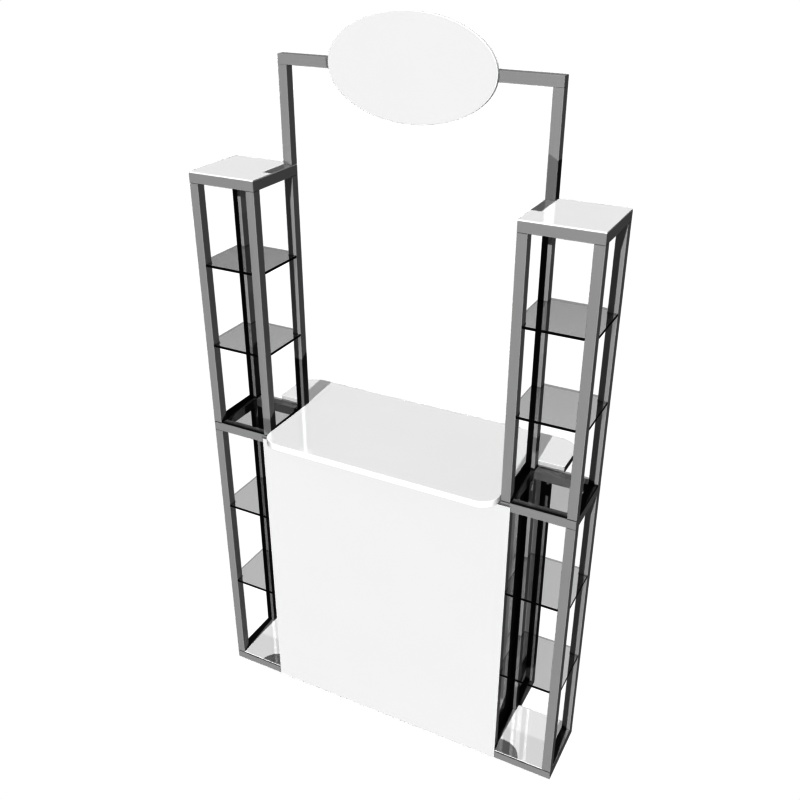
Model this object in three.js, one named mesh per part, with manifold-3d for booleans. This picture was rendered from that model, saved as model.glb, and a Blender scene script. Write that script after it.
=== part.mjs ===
// A double sided salon station: two towers of glass shelves in square tube, a white counter
// between them, and an arch over the counter that carries an oval sign.
// Millimetres, +Z up, front towards -Y, origin on the floor under the middle of the station.
import * as THREE from "three";
import { mergeVertices } from "three/addons/utils/BufferGeometryUtils.js";
import Module from "manifold-3d";

const wasm = await Module();
wasm.setup();

// Square tube
const TUBE = 25.4;
const WALL = 2;
const TUBE_CORNER = 1.5;

// Towers
const TOWER_WIDTH = 200;
const TOWER_DEPTH = 200;
const TOWER_GAP = 700;
const LOWER_UPRIGHT = 851;
const UPPER_UPRIGHT = 702;
const LOWER_SHELF_RISES = [299.2, 586.7];
const UPPER_SHELF_RISES = [244.8, 479.7];
const GLASS = 6;
const BOARD = 4;

// Joints between tubes
const FIT = 0.3;
const SEAT = 0.2;
const REVEAL = 1.5;
const COLLAR_SETBACK = 1.5;
const SPIGOT = 24;
const VENT_BORE = 8;
const PAD_LENGTH = 24;
const PAD_DEPTH = 12;
const PAD_SPREAD = 45;

// Shelf pegs and panel stops
const PEG_BORE = 6;
const PEG_REACH = 9;
const PEG_INSET = 6;
const STOP = 4;
const STOP_END_GAP = 30;

// Counter
const PANEL = 5;
const SIDE_PANEL = 3;
const SIDE_GAP = 12.5;
const PANEL_LAP = 2.6;
const PANEL_FOOT = 4;
const PANEL_DROP = 8.4;
const WORKTOP = 18;
const WORKTOP_FRONT = 56.5;
const WORKTOP_REAR = 146;
const WORKTOP_WING = 100;
const WORKTOP_FRONT_RADIUS = 50;
const WORKTOP_REAR_RADIUS = 60;
const REAR_POST_SETBACK = 1;
const INNER_BOARD = 12;
const INNER_SHELF_HEIGHT = 450;
const INNER_SHELF_FRONT_GAP = 2;

// Arch and sign
const ARCH_POST = 251;
const ARCH_PLUG = 15;
const SIGN_WIDTH = 445;
const SIGN_HEIGHT = 253;
const SIGN_THICK = 10;
const SIGN_LIFT = 2.5;

// Fineness of round forms
const TUBE_CORNER_STEPS = 1;
const ROUND_SIDES = 16;
const WORKTOP_STEPS = 12;
const SIGN_STEPS = 36;
const WELD = 1e-4;

// Levels that follow from the sizes
const BOTTOM_TOP = TUBE;
const LOWER_FOOT = BOTTOM_TOP + REVEAL;
const MID_BASE = LOWER_FOOT + LOWER_UPRIGHT;
const MID_TOP = MID_BASE + TUBE;
const UPPER_FOOT = MID_TOP + REVEAL;
const TOP_BASE = UPPER_FOOT + UPPER_UPRIGHT;
const TOP_TOP = TOP_BASE + TUBE;
const CAP_TOP = TOP_TOP + BOARD;
const BAR_BASE = CAP_TOP + ARCH_POST;
const WORKTOP_BASE = UPPER_FOOT;

// Places in plan that follow from the sizes
const HALF_GAP = TOWER_GAP / 2;
const TOWER_X = HALF_GAP + TOWER_WIDTH / 2;
const DEPTH_ALL = WORKTOP_FRONT + TOWER_DEPTH + WORKTOP_REAR;
const TOWER_FRONT = WORKTOP_FRONT - DEPTH_ALL / 2;
const TOWER_REAR = TOWER_FRONT + TOWER_DEPTH;
const TOWER_Y = (TOWER_FRONT + TOWER_REAR) / 2;
const INNER_TUBE_X = HALF_GAP + TUBE / 2;
const REAR_POST_BACK = DEPTH_ALL / 2 - REAR_POST_SETBACK;
const REAR_POST_Y = REAR_POST_BACK - TUBE / 2;
const REAR_POST_FRONT = REAR_POST_BACK - TUBE;
const RAIL_Z = WORKTOP_BASE - TUBE / 2;
const HOLLOW = TUBE - 2 * WALL;
const PLUG = HOLLOW - 2 * FIT;
const THROUGH_WALL = 4 * WALL;
const SIDES = [["left", -1], ["right", 1]];
const [X, Y, Z] = [0, 1, 2];

// Materials
const aluminium = () =>
  new THREE.MeshStandardMaterial({ color: 0x9b9b9b, roughness: 0.38, metalness: 0.85 });
const laminate = () =>
  new THREE.MeshStandardMaterial({ color: 0xf1f1f1, roughness: 0.18, metalness: 0 });
const smokedGlass = () =>
  new THREE.MeshStandardMaterial({
    color: 0x5b5f60, roughness: 0.05, metalness: 0, transparent: true, opacity: 0.45,
  });

// A closed geometry as a solid that can be joined and cut
function solid(geometry) {
  const bare = geometry.index ? geometry.toNonIndexed() : geometry.clone();
  bare.deleteAttribute("normal");
  bare.deleteAttribute("uv");
  const welded = mergeVertices(bare, WELD);
  return new wasm.Manifold(new wasm.Mesh({
    numProp: 3,
    vertProperties: welded.getAttribute("position").array,
    triVerts: new Uint32Array(welded.index.array),
  }));
}

// A solid as a flat shaded mesh with a name and a material
function piece(name, body, material) {
  const cut = body.getMesh();
  const shared = new THREE.BufferGeometry();
  shared.setAttribute("position", new THREE.BufferAttribute(cut.vertProperties, 3));
  shared.setIndex(new THREE.BufferAttribute(cut.triVerts, 1));
  const geometry = shared.toNonIndexed();
  geometry.computeVertexNormals();
  const mesh = new THREE.Mesh(geometry, material);
  mesh.name = name;
  return mesh;
}

// A block given by its centre and size
function block(centre, size) {
  return solid(new THREE.BoxGeometry(...size).translate(...centre));
}

// A round bar along X or Y given by its centre
function roundBar(axis, centre, diameter, length) {
  const bar = new THREE.CylinderGeometry(diameter / 2, diameter / 2, length, ROUND_SIDES);
  if (axis === "x") bar.rotateZ(Math.PI / 2);
  return solid(bar.translate(...centre));
}

// The outline of the square tube with its rounded corners
function tubeOutline() {
  const half = TUBE / 2;
  const flat = half - TUBE_CORNER;
  const outline = new THREE.Shape();
  outline.absarc(flat, flat, TUBE_CORNER, 0, Math.PI / 2);
  outline.absarc(-flat, flat, TUBE_CORNER, Math.PI / 2, Math.PI);
  outline.absarc(-flat, -flat, TUBE_CORNER, Math.PI, Math.PI * 1.5);
  outline.absarc(flat, -flat, TUBE_CORNER, Math.PI * 1.5, Math.PI * 2);
  return outline;
}

function squarePath(half) {
  return new THREE.Path([
    new THREE.Vector2(-half, -half),
    new THREE.Vector2(half, -half),
    new THREE.Vector2(half, half),
    new THREE.Vector2(-half, half),
  ]).closePath();
}

// A length of open tube along X, Y or Z, given by its centre
function tube(axis, centre, length) {
  const outline = tubeOutline();
  outline.holes.push(squarePath(HOLLOW / 2));
  const body = new THREE.ExtrudeGeometry(outline, {
    depth: length, bevelEnabled: false, curveSegments: TUBE_CORNER_STEPS,
  }).translate(0, 0, -length / 2);
  if (axis === "x") body.rotateY(Math.PI / 2);
  if (axis === "y") body.rotateX(-Math.PI / 2);
  return solid(body.translate(...centre));
}

// A plate from an outline in plan, with its underside at z
function plate(shape, z, thickness, steps) {
  return solid(new THREE.ExtrudeGeometry(shape, {
    depth: thickness, bevelEnabled: false, curveSegments: steps,
  }).translate(0, 0, z));
}

function polygon(points) {
  return new THREE.Shape(points.map(([x, y]) => new THREE.Vector2(x, y)));
}

// A square plug for a tube end: it stands on the wall at root and reaches along one signed axis
function plug(root, axis, way, reach) {
  const length = reach + WALL;
  const centre = root.map((value, k) => value + (k === axis ? way * (reach - WALL) / 2 : 0));
  const size = root.map((value, k) => (k === axis ? length : PLUG));
  return block(centre, size);
}

// The four corners of a tower in plan, named by the inner and outer side
function corners(side) {
  const x = TOWER_WIDTH / 2 - TUBE / 2;
  const y = TOWER_DEPTH / 2 - TUBE / 2;
  return [
    { name: "front_inner", x: -side * x, y: -y, inner: true, rear: false },
    { name: "front_outer", x: side * x, y: -y, inner: false, rear: false },
    { name: "rear_inner", x: -side * x, y: y, inner: true, rear: true },
    { name: "rear_outer", x: side * x, y: y, inner: false, rear: true },
  ];
}

// One mitred rail of a ring frame along X, on the front side of a frame of the given width and depth
function mitredRail(width, depth) {
  const rail = tube("x", [0, -depth / 2 + TUBE / 2, TUBE / 2], width);
  const mitre = polygon([
    [-width / 2, -depth / 2],
    [width / 2, -depth / 2],
    [width / 2 - TUBE, -depth / 2 + TUBE],
    [-width / 2 + TUBE, -depth / 2 + TUBE],
  ]);
  return rail.intersect(plate(mitre, 0, TUBE, 1));
}

// A ring frame of four mitred rails, vented on its inner walls so that it is not sealed
function ringFrame() {
  const front = mitredRail(TOWER_WIDTH, TOWER_DEPTH);
  const side = mitredRail(TOWER_DEPTH, TOWER_WIDTH);
  const ring = front
    .add(front.rotate([0, 0, 180]))
    .add(side.rotate([0, 0, 90]))
    .add(side.rotate([0, 0, -90]));
  const face = TOWER_WIDTH / 2 - TUBE;
  return [-1, 1].reduce(
    (body, way) => body.subtract(roundBar("x", [way * face, 0, TUBE / 2], VENT_BORE, THROUGH_WALL)),
    ring,
  );
}

// A low block on the top of a frame, as high as the reveal
function raised(x, y, length, depth) {
  return block([x, y, TUBE + (REVEAL - WALL) / 2], [length, depth, REVEAL + WALL]);
}

// Collars and spigots that the uprights above a frame stand on
function upperSpigots(side) {
  const collar = TUBE - 2 * COLLAR_SETBACK;
  return corners(side).flatMap(({ x, y }) => [
    raised(x, y, collar, collar),
    plug([x, y, TUBE], Z, 1, REVEAL + SPIGOT),
  ]);
}

// Spigots that fill the tops of the uprights below a frame
function lowerSpigots(side) {
  return corners(side).map(({ x, y }) => plug([x, y, 0], Z, -1, SPIGOT));
}

// Low pads that carry a board or a glass plate above the front and rear rails
function pads() {
  const y = TOWER_DEPTH / 2 - TUBE / 2;
  return [-1, 1].flatMap((way) => [-1, 1].map(
    (end) => raised(way * PAD_SPREAD, end * y, PAD_LENGTH, PAD_DEPTH),
  ));
}

// Spigots on a frame for the counter rails, on its inner side at the front and on its rear side
function counterSpigots(side, z) {
  const inner = -side * (TOWER_WIDTH / 2);
  const { x, y } = corners(side)[0];
  return [
    plug([inner, y, z], X, -side, SPIGOT),
    plug([x, TOWER_DEPTH / 2, z], Y, 1, SPIGOT),
  ];
}

function joined(body, additions) {
  return additions.reduce((whole, addition) => whole.add(addition), body);
}

// A plate notched round the four uprights, set back from the inner side by the given amount
function notchedPlate(side, setback, z, thickness) {
  const w = TOWER_WIDTH / 2;
  const d = TOWER_DEPTH / 2;
  const n = TUBE + FIT;
  const outline = [
    [-w + n, -d], [w - n, -d], [w - n, -d + n], [w, -d + n], [w, d - n], [w - n, d - n],
    [w - n, d], [-w + n, d], [-w + n, d - n], [-w + setback, d - n], [-w + setback, -d + n],
    [-w + n, -d + n],
  ];
  return plate(polygon(outline.map(([x, y]) => [side * x, y])), z, thickness, 1);
}

// A cap board with a square hole for the spigot of the arch post
function capBoard(side) {
  const w = TOWER_WIDTH / 2;
  const d = TOWER_DEPTH / 2;
  const outline = polygon([[-w, -d], [w, -d], [w, d], [-w, d]]);
  const { x, y } = corners(side)[2];
  return plate(outline, 0, BOARD, 1).subtract(block([x, y, BOARD / 2], [HOLLOW, HOLLOW, 2 * BOARD]));
}

// An upright with its foot at zero and pegs under the shelves, on the face towards the tower's middle
function upright(corner, length, pegTops) {
  const facing = corner.rear ? -1 : 1;
  const towards = -Math.sign(corner.x);
  const reach = PEG_REACH + WALL;
  const pegs = pegTops.map((top) => roundBar(
    "y",
    [towards * (TUBE / 2 - PEG_INSET), facing * (TUBE / 2 - WALL + reach / 2), top - PEG_BORE / 2],
    PEG_BORE,
    reach,
  ));
  return joined(tube("z", [0, 0, length / 2], length), pegs);
}

// A strip along an upright or post that a side panel is pressed against from inside the counter
function panelStop(side, facing, base, length) {
  const x = -side * (TUBE / 2 - SIDE_PANEL - FIT - STOP / 2);
  const y = facing * (TUBE / 2 + (STOP - WALL) / 2);
  return block([x, y, base + length / 2], [STOP, STOP + WALL, length]);
}

// A peg for the counter's inner shelf, on the inner face of an upright or post
function innerPeg(side, top) {
  const reach = PEG_REACH + WALL;
  return roundBar("x", [-side * (TUBE / 2 - WALL + reach / 2), 0, top - PEG_BORE / 2], PEG_BORE, reach);
}

// A lower upright, with what holds the side panels and the inner shelf where it borders the counter
function lowerUpright(side, corner) {
  const pegTops = LOWER_SHELF_RISES.map((rise) => rise - REVEAL - SEAT);
  const body = upright(corner, LOWER_UPRIGHT, pegTops);
  if (!corner.inner) return body;
  const stop = (facing) => panelStop(side, facing, STOP_END_GAP, LOWER_UPRIGHT - 2 * STOP_END_GAP);
  const fittings = corner.rear ? [stop(-1), stop(1)] : [stop(1)];
  return joined(body, [...fittings, innerPeg(side, INNER_SHELF_HEIGHT - SEAT - LOWER_FOOT)]);
}

// One tower, mirrored by its side
function tower(name, side) {
  const group = new THREE.Group();
  group.position.set(side * TOWER_X, TOWER_Y, 0);
  const add = (part, z, body, material) => {
    const mesh = piece(`${name}_${part}`, body, material);
    mesh.position.z = z;
    group.add(mesh);
    return mesh;
  };
  const besidePanel = SIDE_PANEL + SIDE_GAP;
  const ring = ringFrame();

  add("bottom_frame", 0, joined(ring, [
    ...upperSpigots(side), ...pads(), ...counterSpigots(side, TUBE / 2),
  ]), aluminium());
  add("mid_frame", MID_BASE, joined(ring, [
    ...upperSpigots(side), ...lowerSpigots(side), ...pads(), ...counterSpigots(side, RAIL_Z - MID_BASE),
  ]), aluminium());
  const postCorner = corners(side)[2];
  add("top_frame", TOP_BASE, joined(ring, [
    ...lowerSpigots(side), plug([postCorner.x, postCorner.y, TUBE], Z, 1, BOARD + SPIGOT),
  ]), aluminium());

  add("floor_board", LOWER_FOOT, notchedPlate(side, besidePanel, 0, BOARD), laminate());
  add("cap_board", TOP_TOP, capBoard(side), laminate());
  add("mid_glass", UPPER_FOOT, notchedPlate(side, 0, 0, GLASS), smokedGlass());

  const pegTops = UPPER_SHELF_RISES.map((rise) => rise - REVEAL - SEAT);
  for (const corner of corners(side)) {
    const lower = add(`lower_upright_${corner.name}`, LOWER_FOOT, lowerUpright(side, corner), aluminium());
    const upperBody = upright(corner, UPPER_UPRIGHT, pegTops);
    const upper = add(`upper_upright_${corner.name}`, UPPER_FOOT, upperBody, aluminium());
    for (const mesh of [lower, upper]) {
      mesh.position.x = corner.x;
      mesh.position.y = corner.y;
    }
  }
  LOWER_SHELF_RISES.forEach((rise, level) => {
    const body = notchedPlate(side, besidePanel, 0, GLASS);
    add(`lower_shelf_${level + 1}`, BOTTOM_TOP + rise, body, smokedGlass());
  });
  UPPER_SHELF_RISES.forEach((rise, level) => {
    add(`upper_shelf_${level + 1}`, MID_TOP + rise, notchedPlate(side, 0, 0, GLASS), smokedGlass());
  });
  return group;
}

// The worktop, which fits between the towers at the front and spreads into wings behind them
function worktop() {
  const neck = HALF_GAP - FIT;
  const wing = HALF_GAP + WORKTOP_WING;
  const front = -DEPTH_ALL / 2;
  const rear = DEPTH_ALL / 2;
  const shoulder = TOWER_REAR + FIT;
  const r = WORKTOP_FRONT_RADIUS;
  const s = WORKTOP_REAR_RADIUS;
  const outline = new THREE.Shape();
  outline.moveTo(-neck, shoulder);
  outline.lineTo(-neck, front + r);
  outline.absarc(-neck + r, front + r, r, Math.PI, Math.PI * 1.5);
  outline.absarc(neck - r, front + r, r, Math.PI * 1.5, Math.PI * 2);
  outline.lineTo(neck, shoulder);
  outline.lineTo(wing, shoulder);
  outline.absarc(wing - s, rear - s, s, 0, Math.PI / 2);
  outline.absarc(-wing + s, rear - s, s, Math.PI / 2, Math.PI);
  outline.lineTo(-wing, shoulder);
  outline.closePath();
  return plate(outline, WORKTOP_BASE, WORKTOP, WORKTOP_STEPS);
}

// A rear post with spigots for the rails that meet it, a panel stop and a peg for the inner shelf
function rearPost(side) {
  const height = WORKTOP_BASE;
  const spigots = [TUBE / 2, RAIL_Z].flatMap((z) => [
    plug([-side * TUBE / 2, 0, z], X, -side, SPIGOT),
    plug([0, -TUBE / 2, z], Y, -1, SPIGOT),
  ]);
  const stopBase = LOWER_FOOT + STOP_END_GAP;
  const stop = panelStop(side, -1, stopBase, height - stopBase - TUBE - STOP_END_GAP);
  const peg = innerPeg(side, INNER_SHELF_HEIGHT - SEAT);
  return joined(tube("z", [0, 0, height / 2], height), [...spigots, stop, peg]);
}

// A board in the counter between the inner faces of the uprights, from front to the back of the posts
function innerBoard(front, z) {
  const centre = [0, (front + REAR_POST_BACK) / 2, z + INNER_BOARD / 2];
  return block(centre, [TOWER_GAP - 2 * FIT, REAR_POST_BACK - front, INNER_BOARD]);
}

// The counter between and behind the towers
function counter() {
  const group = new THREE.Group();
  const add = (name, body, material) => group.add(piece(name, body, material));
  const panelTop = MID_TOP - PANEL_DROP;
  const panelWidth = TOWER_GAP + 2 * (TUBE + PANEL_LAP);
  add("front_panel", block(
    [0, TOWER_FRONT - PANEL / 2, (PANEL_FOOT + panelTop) / 2], [panelWidth, PANEL, panelTop - PANEL_FOOT],
  ), laminate());
  add("worktop", worktop(), laminate());

  const span = TOWER_GAP - 2 * FIT;
  const frontRailY = TOWER_FRONT + TUBE / 2;
  add("front_top_rail", tube("x", [0, frontRailY, RAIL_Z], span), aluminium());
  add("front_bottom_rail", tube("x", [0, frontRailY, TUBE / 2], span), aluminium());
  add("rear_top_rail", tube("x", [0, REAR_POST_Y, RAIL_Z], span), aluminium());
  add("rear_bottom_rail", tube("x", [0, REAR_POST_Y, TUBE / 2], span), aluminium());
  add("base_board", innerBoard(TOWER_FRONT + FIT, TUBE), laminate());
  add("inner_shelf", innerBoard(TOWER_FRONT + INNER_SHELF_FRONT_GAP, INNER_SHELF_HEIGHT), laminate());

  const bayStart = TOWER_REAR;
  const bayMiddle = (bayStart + REAR_POST_FRONT) / 2;
  const bay = REAR_POST_FRONT - bayStart - 2 * FIT;
  for (const [name, side] of SIDES) {
    const x = side * INNER_TUBE_X;
    const post = piece(`${name}_rear_post`, rearPost(side), aluminium());
    post.position.set(x, REAR_POST_Y, 0);
    group.add(post);
    add(`${name}_side_top_rail`, tube("y", [x, bayMiddle, RAIL_Z], bay), aluminium());
    add(`${name}_side_bottom_rail`, tube("y", [x, bayMiddle, TUBE / 2], bay), aluminium());

    const panelX = side * (HALF_GAP + SIDE_PANEL / 2);
    const frontTop = MID_BASE - FIT;
    const frontBay = TOWER_DEPTH - 2 * TUBE - 2 * FIT;
    add(`${name}_side_panel_front`, block(
      [panelX, TOWER_Y, (BOTTOM_TOP + frontTop) / 2], [SIDE_PANEL, frontBay, frontTop - BOTTOM_TOP],
    ), laminate());
    const rearTop = RAIL_Z - TUBE / 2 - FIT;
    add(`${name}_side_panel_rear`, block(
      [panelX, bayMiddle, (BOTTOM_TOP + rearTop) / 2], [SIDE_PANEL, bay, rearTop - BOTTOM_TOP],
    ), laminate());
  }
  return group;
}

// The bar of the arch: closed ends, open below where the post plugs enter
function archBar() {
  const length = TOWER_GAP + 2 * TUBE;
  const outer = new THREE.ExtrudeGeometry(tubeOutline(), {
    depth: length, bevelEnabled: false, curveSegments: TUBE_CORNER_STEPS,
  });
  outer.translate(0, 0, -length / 2).rotateY(Math.PI / 2);
  const cuts = [block([0, 0, 0], [length - 2 * WALL, HOLLOW, HOLLOW])];
  for (const [, side] of SIDES) {
    cuts.push(block([side * INNER_TUBE_X, 0, -TUBE / 2], [HOLLOW, HOLLOW, THROUGH_WALL]));
  }
  return cuts.reduce((body, cut) => body.subtract(cut), solid(outer));
}

// A post of the arch, with a plug at its top that enters the bar
function archPost() {
  const plugLength = 2 * ARCH_PLUG;
  const top = block([0, 0, ARCH_POST], [PLUG, PLUG, plugLength]);
  const web = block([0, 0, ARCH_POST - ARCH_PLUG], [TUBE - WALL, TUBE - WALL, WALL]);
  return joined(tube("z", [0, 0, ARCH_POST / 2], ARCH_POST), [top, web]);
}

// The oval sign, an upright plate on the front of the bar
function sign() {
  const outline = new THREE.Shape().absellipse(0, 0, SIGN_WIDTH / 2, SIGN_HEIGHT / 2, 0, Math.PI * 2);
  const body = new THREE.ExtrudeGeometry(outline, {
    depth: SIGN_THICK, bevelEnabled: false, curveSegments: SIGN_STEPS,
  });
  return solid(body.rotateX(Math.PI / 2));
}

// The arch over the counter
function arch() {
  const group = new THREE.Group();
  const postY = TOWER_REAR - TUBE / 2;
  for (const [name, side] of SIDES) {
    const post = piece(`${name}_arch_post`, archPost(), aluminium());
    post.position.set(side * INNER_TUBE_X, postY, CAP_TOP);
    group.add(post);
  }
  const barZ = BAR_BASE + TUBE / 2;
  const bar = piece("arch_bar", archBar(), aluminium());
  bar.position.set(0, postY, barZ);
  group.add(bar);
  const oval = piece("oval_sign", sign(), laminate());
  oval.position.set(0, TOWER_REAR - TUBE, barZ + SIGN_LIFT);
  group.add(oval);
  return group;
}

const station = new THREE.Group();
station.name = "double_sided_salon_station";
for (const [name, side] of SIDES) station.add(tower(`${name}_tower`, side));
station.add(counter());
station.add(arch());

export default station;
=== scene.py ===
# %% [markdown]
# # A double sided salon station
# Two open towers of square aluminium tube carry smoked glass shelves. A white counter stands between
# them, and an arch over the counter holds a blank oval sign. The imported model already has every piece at
# its real size, with plain sharp edges. This lesson makes each piece again with the eased edges, mitres
# and finishes that the eye looks for, in the same place and at the same size.

import math
from collections import namedtuple

import bpy
import numpy as np
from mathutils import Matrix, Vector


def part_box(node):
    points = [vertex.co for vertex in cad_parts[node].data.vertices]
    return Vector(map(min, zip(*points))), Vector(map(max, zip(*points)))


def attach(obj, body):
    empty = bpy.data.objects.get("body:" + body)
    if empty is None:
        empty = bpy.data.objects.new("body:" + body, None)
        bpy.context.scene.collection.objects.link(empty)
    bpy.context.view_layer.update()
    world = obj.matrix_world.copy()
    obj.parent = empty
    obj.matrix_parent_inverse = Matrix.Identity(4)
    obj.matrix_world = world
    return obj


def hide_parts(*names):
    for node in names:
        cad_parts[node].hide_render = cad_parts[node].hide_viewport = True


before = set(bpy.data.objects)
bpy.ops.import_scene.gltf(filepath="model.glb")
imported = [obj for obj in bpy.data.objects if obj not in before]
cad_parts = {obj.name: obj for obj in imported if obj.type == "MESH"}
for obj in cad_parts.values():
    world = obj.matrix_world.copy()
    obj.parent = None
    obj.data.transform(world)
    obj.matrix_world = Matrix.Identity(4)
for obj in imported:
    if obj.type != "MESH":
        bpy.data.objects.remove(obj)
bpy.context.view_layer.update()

# %% [markdown]
# ## Arithmetic on sockets
# A finish is a chain of nodes, and most links in it are sums and products. They could be drawn one node at
# a time, but a formula is easier to read. A Wire is an output socket that Python can add, subtract,
# multiply and raise to a power, and each operator leaves one Math node in the material.

# %% Wires
def socket_named(sockets, key):
    """The first socket whose identifier or name is key."""
    return next(socket for socket in sockets if key in (socket.identifier, socket.name))


class Wire:
    """An output socket of a finish. An operator on it adds a Math node and gives that node's output."""

    def __init__(self, finish, socket):
        self.finish = finish
        self.socket = socket

    def math(self, operation, first, second):
        """The output of a Math node that works on two numbers or wires."""
        sockets = {"Value": first, "Value_001": second}
        return self.finish.add("ShaderNodeMath", {"operation": operation}, sockets)

    def __add__(self, other):
        return self.math("ADD", self, other)

    def __sub__(self, other):
        return self.math("SUBTRACT", self, other)

    def __rsub__(self, other):
        return self.math("SUBTRACT", other, self)

    def __mul__(self, other):
        return self.math("MULTIPLY", self, other)

    def __pow__(self, other):
        return self.math("POWER", self, other)

    def between(self, low, high):
        """The wire's run from 0 to 1 as a run from low to high."""
        return low + self * (high - low)

    __radd__ = __add__
    __rmul__ = __mul__


# %% [markdown]
# ## What a finish is made of
# A finish is one material. Its add() makes any node, and the other methods are short words for the nodes
# that several finishes share. Noise could be read anywhere, but it is read at Object coordinates, which are
# metres on the piece, so that a pattern stays where it is when the piece is carried away.

# %% Finishes
def grey(value):
    """A colour with as much red as green and blue."""
    return (value, value, value, 1.0)


class Finish:
    """A material under a maker's name. add() makes any node: its settings first, then its sockets."""

    def __init__(self, name):
        self.material = bpy.data.materials.new(name)
        self.material.use_nodes = True
        self.tree = self.material.node_tree
        self.tree.nodes.clear()

    def add(self, kind, settings, sockets, output=None):
        """The named output of a new node, or its first one. A socket takes a value or a wire."""
        node = self.tree.nodes.new(kind)
        for name, value in settings.items():
            setattr(node, name, value)
        for key, value in sockets.items():
            socket = socket_named(node.inputs, key)
            if isinstance(value, Wire):
                self.tree.links.new(value.socket, socket)
            else:
                socket.default_value = value
        if not node.outputs:
            return None
        return Wire(self, socket_named(node.outputs, output) if output else node.outputs[0])

    def place(self):
        """Where a point is on the piece, in metres."""
        return self.add("ShaderNodeTexCoord", {}, {}, "Object")

    def noise(self, where, scale, detail):
        """Soft cloudy noise from 0 to 1, scale being its lumps in one unit of where."""
        sockets = {"Vector": where, "Scale": scale, "Detail": detail}
        return self.add("ShaderNodeTexNoise", {}, sockets, "Fac")

    def blend(self, share, first, second):
        """The colour first where share is 0 and second where it is 1."""
        sockets = {"Factor_Float": share, "A_Color": first, "B_Color": second}
        return self.add("ShaderNodeMix", {"data_type": "RGBA"}, sockets, "Result_Color")

    def greys(self, share, dark, light):
        """A grey that is dark where share is 0 and light where it is 1."""
        return self.blend(share, grey(dark), grey(light))

    def relief(self, height, strength, depth):
        """Relief too fine for the mesh, for a surface's Normal."""
        return self.add("ShaderNodeBump", {}, {"Strength": strength, "Distance": depth, "Height": height})

    def surface(self, sockets):
        """The everyday shader with these sockets set."""
        return self.add("ShaderNodeBsdfPrincipled", {}, sockets)

    def see_through(self, tint):
        """A face that lets the share tint of the light straight through."""
        return self.add("ShaderNodeBsdfTransparent", {}, {"Color": grey(tint)})

    def mix(self, share, first, second):
        """The shader first where share is 0 and second where it is 1."""
        return self.add("ShaderNodeMixShader", {}, {"Fac": share, "Shader": first, "Shader_001": second})

    def show(self, shader):
        """The material, with the shader on its surface."""
        self.add("ShaderNodeOutputMaterial", {}, {"Surface": shader})
        print("finish", self.material.name, "of", len(self.tree.nodes), "nodes")
        return self.material


# %% [markdown]
# ## Satin aluminium
# The tube is extruded, brushed along its length and anodised. Brushing leaves fine lines that run along
# the tube, so the pattern has to follow each piece and not the room. Every tube gets a map of its own,
# called grain, in metres: the first number runs along the tube and the second goes round it. Noise that is
# stretched along the first number gives the lines. Where the second number passes a corner, handling has
# rubbed the satin a little brighter.

# %% Satin aluminium
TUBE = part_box("left_arch_post")[1].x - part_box("left_arch_post")[0].x
TUBE_CORNER = 0.0008
TUBE_GIRTH = 4 * TUBE - (8 - 2 * math.pi) * TUBE_CORNER
GRAIN = "grain"
LINE_LENGTH = 0.30
LINE_WIDTH = 0.0009
LINES_IN_TONE = 0.6
LINES_IN_RELIEF = 0.7
SATIN_CLOUDS = 9.0
SATIN_GREY = (0.396, 0.44)
SATIN_ROUGH = (0.42, 0.52)
SATIN_METAL = 0.1
RUB_WIDTH = 0.0018
RUB_GREY = 0.505
RUB_SHARE = 0.1
RUB_ROUGH = 0.1
RUB_METAL = 0.08


def satin_aluminium():
    """Lines along the grain and soft clouds set the grey, and the corners are rubbed.

    rubbed falls smoothly from 1 at a corner to 0 at RUB_WIDTH from it. The way round the tube meets a
    corner at every quarter of the girth, and the pingpong gives the distance to the nearest one.
    """
    finish = Finish("satin_aluminium")
    grain = finish.add("ShaderNodeUVMap", {"uv_map": GRAIN}, {})
    stretch = (1 / LINE_LENGTH, 1 / LINE_WIDTH, 1.0)
    drawn = finish.add("ShaderNodeMapping", {}, {"Vector": grain, "Scale": stretch})
    lines = finish.noise(drawn, scale=1.0, detail=4.0)
    clouds = finish.noise(finish.place(), scale=SATIN_CLOUDS, detail=3.0)

    around = finish.add("ShaderNodeSeparateXYZ", {}, {"Vector": grain}, "Y")
    half_face = TUBE_GIRTH / 8
    to_corner = around.math("PINGPONG", around, half_face)
    range_sockets = {"Value": to_corner, "From Max": RUB_WIDTH, "To Min": 1.0, "To Max": 0.0}
    rubbed = finish.add("ShaderNodeMapRange", {"interpolation_type": "SMOOTHSTEP"}, range_sockets)

    tone = lines * LINES_IN_TONE + clouds * (1 - LINES_IN_TONE)
    height = lines * LINES_IN_RELIEF + clouds * (1 - LINES_IN_RELIEF)
    satin = finish.greys(tone, *SATIN_GREY)
    shader = finish.surface({
        "Base Color": finish.blend(rubbed * RUB_SHARE, satin, grey(RUB_GREY)),
        "Metallic": SATIN_METAL - rubbed * RUB_METAL,
        "Roughness": lines.between(*SATIN_ROUGH) + rubbed * RUB_ROUGH,
        "Specular IOR Level": 0.05,
        "Normal": finish.relief(height, strength=0.02, depth=0.0003),
    })
    return finish.show(shader)


aluminium = satin_aluminium()

# %% [markdown]
# ## Gloss white laminate
# The boards are faced with white laminate that mirrors the tubes by almost a third from every angle. The
# usual gloss, which grows with the slant, would darken the boards that are looked at flatly, so a share of
# the finish is treated as polished metal and no other gloss is added. A pressed sheet is never a perfect
# mirror: it ripples a little, which shows only in what it reflects. The upright boards and the sign get a
# greyer copy of the same white, which is painted shade that dims the faces the lamps light most.

# %% Gloss white laminate
LAMINATE_MIRROR = 0.3
LAMINATE_CLOUDS = 5.0
LAMINATE_RIPPLES = 260.0
LAMINATE_ROUGH = (0.005, 0.015)


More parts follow.
